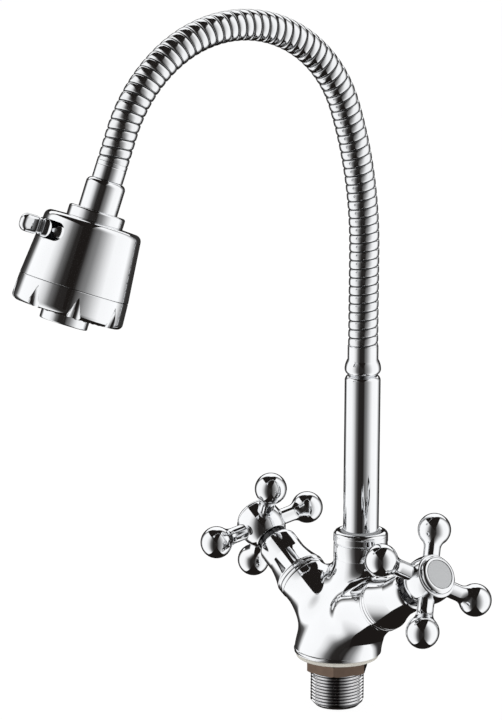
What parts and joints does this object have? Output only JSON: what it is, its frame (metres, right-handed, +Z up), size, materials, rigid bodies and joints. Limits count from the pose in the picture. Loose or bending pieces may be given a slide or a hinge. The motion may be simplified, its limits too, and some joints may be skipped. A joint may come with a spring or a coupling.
{
  "type": "kitchen mixer tap",
  "caption": "Two-handle kitchen mixer tap with a cross handle on each slanting arm, a turning upright spout, a bendable ribbed hose and a two-way spray head.",
  "frame": {"origin": "centre of the shank on the deck plane, which is the underside of the base gasket", "axes": "+Z up along the shank, -Y to the front where the user stands, +X to the user's right (cold side)"},
  "size_m": [0.2101, 0.2623, 0.4355],
  "materials": {
    "chrome": "polished",
    "hose_chrome": "polished",
    "raw_brass": "machined",
    "plated_thread": "plated",
    "grey_plastic": "satin",
    "dark_plastic": "matt",
    "liner_plastic": "satin",
    "black_rubber": "matt",
    "gland_plastic": "gloss",
    "ceramic": "lapped",
    "steel": "turned",
    "steel_mesh": "woven",
    "index_silver": "satin"
  },
  "bodies": {
    "mixer_body": {"body_casting": "chrome", "mounting_shank": "plated_thread", "base_gasket": "grey_plastic", "slip_washer": "raw_brass", "lock_nut": "raw_brass", "spout_nut": "chrome", "spout_bush": "grey_plastic", "hot_seat_seal": "black_rubber", "hot_fixed_disc": "ceramic", "hot_valve": "raw_brass", "hot_bonnet": "chrome", "hot_gland_ring": "gland_plastic", "cold_seat_seal": "black_rubber", "cold_fixed_disc": "ceramic", "cold_valve": "raw_brass", "cold_bonnet": "chrome", "cold_gland_ring": "gland_plastic"},
    "hot_cross_handle": {"hot_handle": "chrome", "hot_spindle": "raw_brass", "hot_moving_disc": "ceramic", "hot_screw": "steel", "hot_cap": "chrome", "hot_index": "index_silver"},
    "cold_cross_handle": {"cold_handle": "chrome", "cold_spindle": "raw_brass", "cold_moving_disc": "ceramic", "cold_screw": "steel", "cold_cap": "chrome", "cold_index": "index_silver"},
    "spout": {"spout_foot": "raw_brass", "spout_seals": "black_rubber", "spout_tube": "chrome", "hose_collar": "chrome", "ribbed_hose": "hose_chrome", "hose_liner": "liner_plastic"},
    "hose_outlet": {"hose_tip": "chrome"},
    "spray_head": {"swivel_nut": "chrome", "hose_washer": "black_rubber", "head_inlet": "chrome", "head_shell": "chrome", "diverter_core": "dark_plastic", "manifold": "dark_plastic", "spray_plate": "grey_plastic", "jet_mat": "black_rubber", "lower_ring": "chrome", "aerator_housing": "chrome", "aerator_screen": "steel_mesh"},
    "selector": {"selector_lever": "chrome"}
  },
  "joints": [
    {"name": "hot_valve_turn", "type": "hinge", "parent": "mixer_body", "child": "hot_cross_handle", "pos_m": [0, 0.0036, 0.0168], "axis": [-0.848, 0, 0.5299], "range_deg": [-90, 0]},
    {"name": "cold_valve_turn", "type": "hinge", "parent": "mixer_body", "child": "cold_cross_handle", "pos_m": [0, 0.0036, 0.0168], "axis": [0.848, 0, 0.5299], "range_deg": [0, 90]},
    {"name": "spout_turn", "type": "hinge", "parent": "mixer_body", "child": "spout", "pos_m": [0, 0.018, 0.0695], "axis": [0, 0, 1], "continuous": true},
    {"name": "hose_bend", "type": "hinge", "parent": "spout", "child": "hose_outlet", "pos_m": [-0.01225, -0.06914, 0.33], "axis": [0.9903, -0.1392, 0], "range_deg": [-20, 20], "deforming": ["ribbed_hose", "hose_liner"]},
    {"name": "head_turn", "type": "hinge", "parent": "hose_outlet", "child": "spray_head", "pos_m": [-0.02417, -0.15396, 0.32085], "axis": [-0.0476, -0.3387, -0.9397], "continuous": true},
    {"name": "selector_turn", "type": "hinge", "parent": "spray_head", "child": "selector", "pos_m": [-0.02417, -0.15396, 0.32085], "axis": [-0.0476, -0.3387, -0.9397], "range_deg": [-16, 0]}
  ]
}
